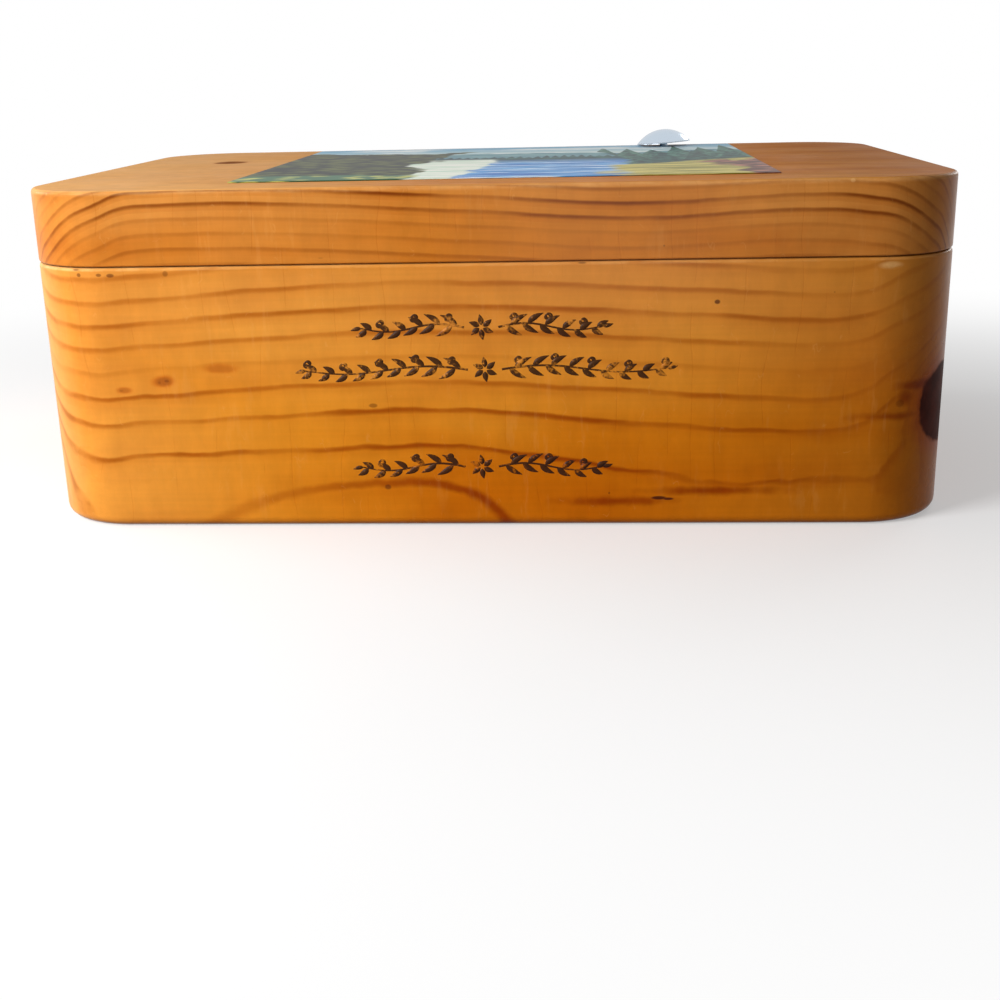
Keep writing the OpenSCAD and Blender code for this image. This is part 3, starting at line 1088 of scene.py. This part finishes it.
def metal(name, bright, dull, polish, tarnish):
    """A metal between two colours. polish is the roughness of clean parts, tarnish the share of dull ones."""
    material, r, shader, place = new_material(name)
    stain = r.noise(place, 0.12, 6.0, 0.6)
    dulled = r.fade(stain, 0.75 - 0.5 * tarnish, 1.05 - 0.5 * tarnish)
    brushed = r.grain(place, (0.3, 4.0, 4.0))
    r.feed(shader.inputs["Base Color"], r.mix(dulled, bright, dull))
    shader.inputs["Metallic"].default_value = 1.0
    rough = r.ramp(dulled, 0.25, r.fade(brushed, 0.2, 0.8, polish, polish + 0.15))
    r.feed(shader.inputs["Roughness"], rough)
    bump(r, shader, brushed, 0.02 * MM, 0.3)
    return material


BRASS = metal("aged_brass", rgb(206, 168, 98), rgb(130, 94, 50), 0.24, 0.7)
SCREW_BRASS = metal("screw_brass", rgb(172, 134, 74), rgb(96, 66, 34), 0.26, 0.8)
NICKEL = metal("bright_nickel", rgb(222, 236, 250), rgb(150, 160, 172), 0.1, 0.2)
print("metals", [kind.name for kind in (BRASS, SCREW_BRASS, NICKEL)])

# %% [markdown]
# ## Hinge leaves
#
# A butt hinge is two leaves of sheet brass on one pin. Each leaf is cut with tongues, and each tongue is
# rolled round the pin. The mesh follows: the outline with its screw holes is filled, given its thickness, and
# the tongue ends are spun round the pin's axis. The roll stops short of the leaf, as a real one does.

# %% Leaf outline
LEAF_H = 11 * MM
HINGE_W = 26 * MM
NOTCH = 2.3 * MM
SIDE_TONGUES = [(-13 * MM, -4.7 * MM), (4.7 * MM, 13 * MM)]
MIDDLE_TONGUE = [(-4.5 * MM, 4.5 * MM)]


def leaf_outline(tongues):
    """The corners of a leaf as (x, distance from the pin), with tongues given as spans along x."""
    half = HINGE_W / 2
    outline = [(-half, LEAF_H), (half, LEAF_H)]
    edge = half
    for low, high in sorted(tongues, reverse=True):
        if high < edge:
            outline += [(edge, NOTCH), (high, NOTCH)]
        outline += [(high, 0.0), (low, 0.0)]
        edge = low
    if edge > -half:
        outline += [(edge, NOTCH), (-half, NOTCH)]
    return outline


# %% Hinge leaf
LEAF_T = 1.0 * MM
PIN_Y = 61 * MM
KNUCKLE_R = 1.9 * MM
BORE_R = 1.05 * MM
HINGE_X = 48 * MM
SCREW_DX = 8 * MM
SCREW_DZ = 6.6 * MM
SINK_R = 1.85 * MM
HOLE_REACH = 1.01 * SINK_R
SHANK_R = 1.05 * MM
ROLL = math.radians(285)
ROLL_STEPS = 22
HOLE_STEPS = 28


def leaf_piece(name, body, node, middle, up, tongues):
    """A leaf above (up = 1) or below (up = -1) the pin."""
    back = base_high.y
    seam = base_high.z
    outline = leaf_outline(tongues)
    bm = bmesh.new()
    corners = [bm.verts.new((middle + px, back + LEAF_T, seam + up * pz)) for px, pz in outline]
    for i, corner in enumerate(corners):
        bm.edges.new((corners[i - 1], corner))
    holes = []
    for side in (-1, 1):
        centre = Vector((middle + side * SCREW_DX, back + LEAF_T, seam + up * SCREW_DZ))
        facing = Matrix.Translation(centre) @ Matrix.Rotation(math.pi / 2, 4, "X")
        bmesh.ops.create_circle(bm, segments=HOLE_STEPS, radius=SINK_R, matrix=facing)
        holes.append(centre)
    # Fill the outline, clear the screw holes, and give the sheet its thickness. Holes narrow inwards.
    bmesh.ops.triangle_fill(bm, use_beauty=True, use_dissolve=False, edges=bm.edges[:], normal=(0, 1, 0))
    for centre in holes:
        plug = [f for f in bm.faces if all((v.co - centre).length < HOLE_REACH for v in f.verts)]
        bmesh.ops.delete(bm, geom=plug, context="FACES_ONLY")
    far = thicken(bm, (0, -LEAF_T, 0))
    for centre in holes:
        deep = centre - Vector((0, LEAF_T, 0))
        rim = [v for v in far if (v.co - deep).length < HOLE_REACH]
        shrink = Matrix.Diagonal((SHANK_R / SINK_R, 1, SHANK_R / SINK_R, 1))
        bmesh.ops.transform(bm, verts=rim, space=Matrix.Translation(-deep), matrix=shrink)
    # Roll the tongues round the pin.
    ends = [f for f in bm.faces if all(abs(v.co.z - seam) < TINY for v in f.verts)]
    for end in ends:
        for vert in end.verts:
            vert.co.y = PIN_Y - (BORE_R if vert.co.y > back + LEAF_T / 2 else KNUCKLE_R)
        bmesh.ops.spin(
            bm, geom=[end, *end.edges, *end.verts], cent=(0, PIN_Y, seam), axis=(-up, 0, 0),
            angle=ROLL, steps=ROLL_STEPS, use_merge=False,
        )
    face_outwards(bm)
    finished(bm, name, body, [node], [BRASS])


for side, middle in (("left", -HINGE_X), ("right", HINGE_X)):
    leaf_piece(f"{side}_base_leaf", "base", f"{side}_hinge_base_leaf", middle, -1, SIDE_TONGUES)
    leaf_piece(f"{side}_lid_leaf", "lid", f"{side}_hinge_lid_leaf", middle, 1, MIDDLE_TONGUE)

# %% [markdown]
# ## The dome tack
#
# A tack is turned about one axis, so its mesh is one profile spun full circle: over the dome, round the rim,
# back under the thin cap and down the nail to its point. It was driven in crooked, so the finished mesh is
# tipped.

# %% Dome tack
TACK_PLACE = Vector((39, 50.4, 65)) * MM
TACK_LEAN = math.radians(-4)
TACK_TIP = math.radians(-1)
TACK_R = 6.75 * MM
DOME_H = 3.3 * MM
CAP_T = 0.6 * MM
RIM_UP = 0.94 * MM
RIM_EASE = 0.12 * MM
NAIL_R = 1.0 * MM
NAIL_BITE = 9 * MM
NAIL_POINT = 2 * MM
DOME_STEPS = 14
CAP_STEPS = 10
TURN_STEPS = 56


def tack_piece():
    ball = (DOME_H ** 2 + TACK_R ** 2) / (2 * DOME_H)
    centre = RIM_UP + DOME_H - ball
    inner = ball - CAP_T
    rim_angle = math.asin(TACK_R / ball)
    inner_angle = math.acos((ball - DOME_H) / inner)
    nail_angle = math.asin(NAIL_R / inner)

    def arc(radius, start, end, steps):
        angles = [start + (end - start) * i / steps for i in range(steps + 1)]
        return [(radius * math.sin(a), centre + radius * math.cos(a)) for a in angles]

    profile = arc(ball, 0, 0.985 * rim_angle, DOME_STEPS)
    profile += [(TACK_R, RIM_UP + RIM_EASE), (TACK_R - RIM_EASE, RIM_UP)]
    profile += arc(inner, inner_angle, nail_angle, CAP_STEPS)
    profile += [(NAIL_R, NAIL_POINT - NAIL_BITE), (0, -NAIL_BITE)]
    bm = bmesh.new()
    chain = [bm.verts.new((reach, 0, height)) for reach, height in profile]
    edges = [bm.edges.new(pair) for pair in zip(chain, chain[1:])]
    bmesh.ops.spin(
        bm, geom=chain + edges, cent=(0, 0, 0), axis=(0, 0, 1), angle=2 * math.pi, steps=TURN_STEPS,
        use_merge=True,
    )
    bmesh.ops.remove_doubles(bm, verts=bm.verts[:], dist=TINY / 10)
    tipped = Matrix.Rotation(TACK_LEAN, 4, "Y") @ Matrix.Rotation(TACK_TIP, 4, "X")
    bmesh.ops.transform(bm, verts=bm.verts[:], matrix=Matrix.Translation(TACK_PLACE) @ tipped)
    face_outwards(bm)
    finished(bm, "dome_tack", "lid", ["lid_tack"], [NICKEL])


tack_piece()

# %% [markdown]
# ## Pins and screws
#
# Their shapes in the construction are right as they are: a plain pin, and flat-head screws with a straight
# slot. They only need their metal.

# %% Metal on the construction's own parts
for name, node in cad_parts.items():
    if name.endswith("_pin") or "_screw_" in name:
        node.material_slots[0].material = BRASS if name.endswith("_pin") else SCREW_BRASS
        print(name, "is", node.material_slots[0].material.name)

# %% [markdown]
# ## Studio
#
# A wide pale floor, a soft key light close on the left front, a window further off on the same side, and a
# weak light behind on the right. The world is white where the camera looks at it, a little darker in
# reflections and much dimmer as a light. The floor goes over into the same white with distance, so the
# background is plain and only the box's own shadow stays.

# %% Floor
FLOOR_HALF = 3.0
WHITE = (1.0, 1.0, 1.0, 1.0)


def ray_kinds(r):
    """Two masks: rays from the camera, and rays seen in a mirror or through glass."""
    path = r.tree.nodes.new("ShaderNodeLightPath").outputs
    return path["Is Camera Ray"], r.most(path["Is Glossy Ray"], path["Is Transmission Ray"])


def make_floor():
    bm = bmesh.new()
    bmesh.ops.create_grid(bm, x_segments=1, y_segments=1, size=FLOOR_HALF)
    mesh = bpy.data.meshes.new("floor")
    bm.to_mesh(mesh)
    bm.free()
    material, r, shader, place = new_material("floor_paper")
    seen = r.most(*ray_kinds(r))
    r.feed(shader.inputs["Base Color"], r.mix(seen, rgb(190, 188, 184), rgb(248, 248, 248)))
    set_gloss(shader, 0.9, 0.0)
    away = r.vector("LENGTH", r.vector("MULTIPLY", place, (0.7, 1.0, 0.0)))
    glow = r.add("ShaderNodeEmission", {"Color": WHITE, "Strength": 1.0})
    share = r.times(seen, r.fade(away, 60, 260, 0.35, 1.0))
    paper = r.add("ShaderNodeMixShader", enumerate((share, shader.outputs[0], glow)))
    r.feed(r.tree.nodes["Material Output"].inputs["Surface"], paper)
    mesh.materials.append(material)
    floor = new_object("floor", mesh)
    print("floor of", 2 * FLOOR_HALF, "m")


make_floor()

# %% Lights and world
WORLD_LIGHT = 0.2
WORLD_MIRRORED = 0.75


def area_light(name, place, target, size, watts):
    data = bpy.data.lights.new(name, "AREA")
    data.shape = "DISK"
    data.size = size
    data.energy = watts
    lamp = new_object(name, data)
    lamp.location = place
    lamp.rotation_euler = (Vector(target) - Vector(place)).to_track_quat("-Z", "Y").to_euler()


def make_world():
    world = bpy.data.worlds.new("studio")
    world.use_nodes = True
    scene.world = world
    r = Recipe(world.node_tree)
    background = r.tree.nodes["Background"]
    background.inputs["Color"].default_value = WHITE
    direct, mirrored = ray_kinds(r)
    strength = r.ramp(mirrored, WORLD_MIRRORED - WORLD_LIGHT, WORLD_LIGHT)
    r.feed(background.inputs["Strength"], r.most(strength, direct))


make_world()
area_light("key", (-0.27, -0.25, 0.22), (-0.05, -0.03, 0.03), 0.2, 1.65)
area_light("window", (-0.65, 0.1, 0.25), (-0.05, 0, 0.03), 0.4, 1.6)
area_light("back", (0.45, 0.6, 0.3), (0, 0.05, 0.03), 0.4, 1.4)
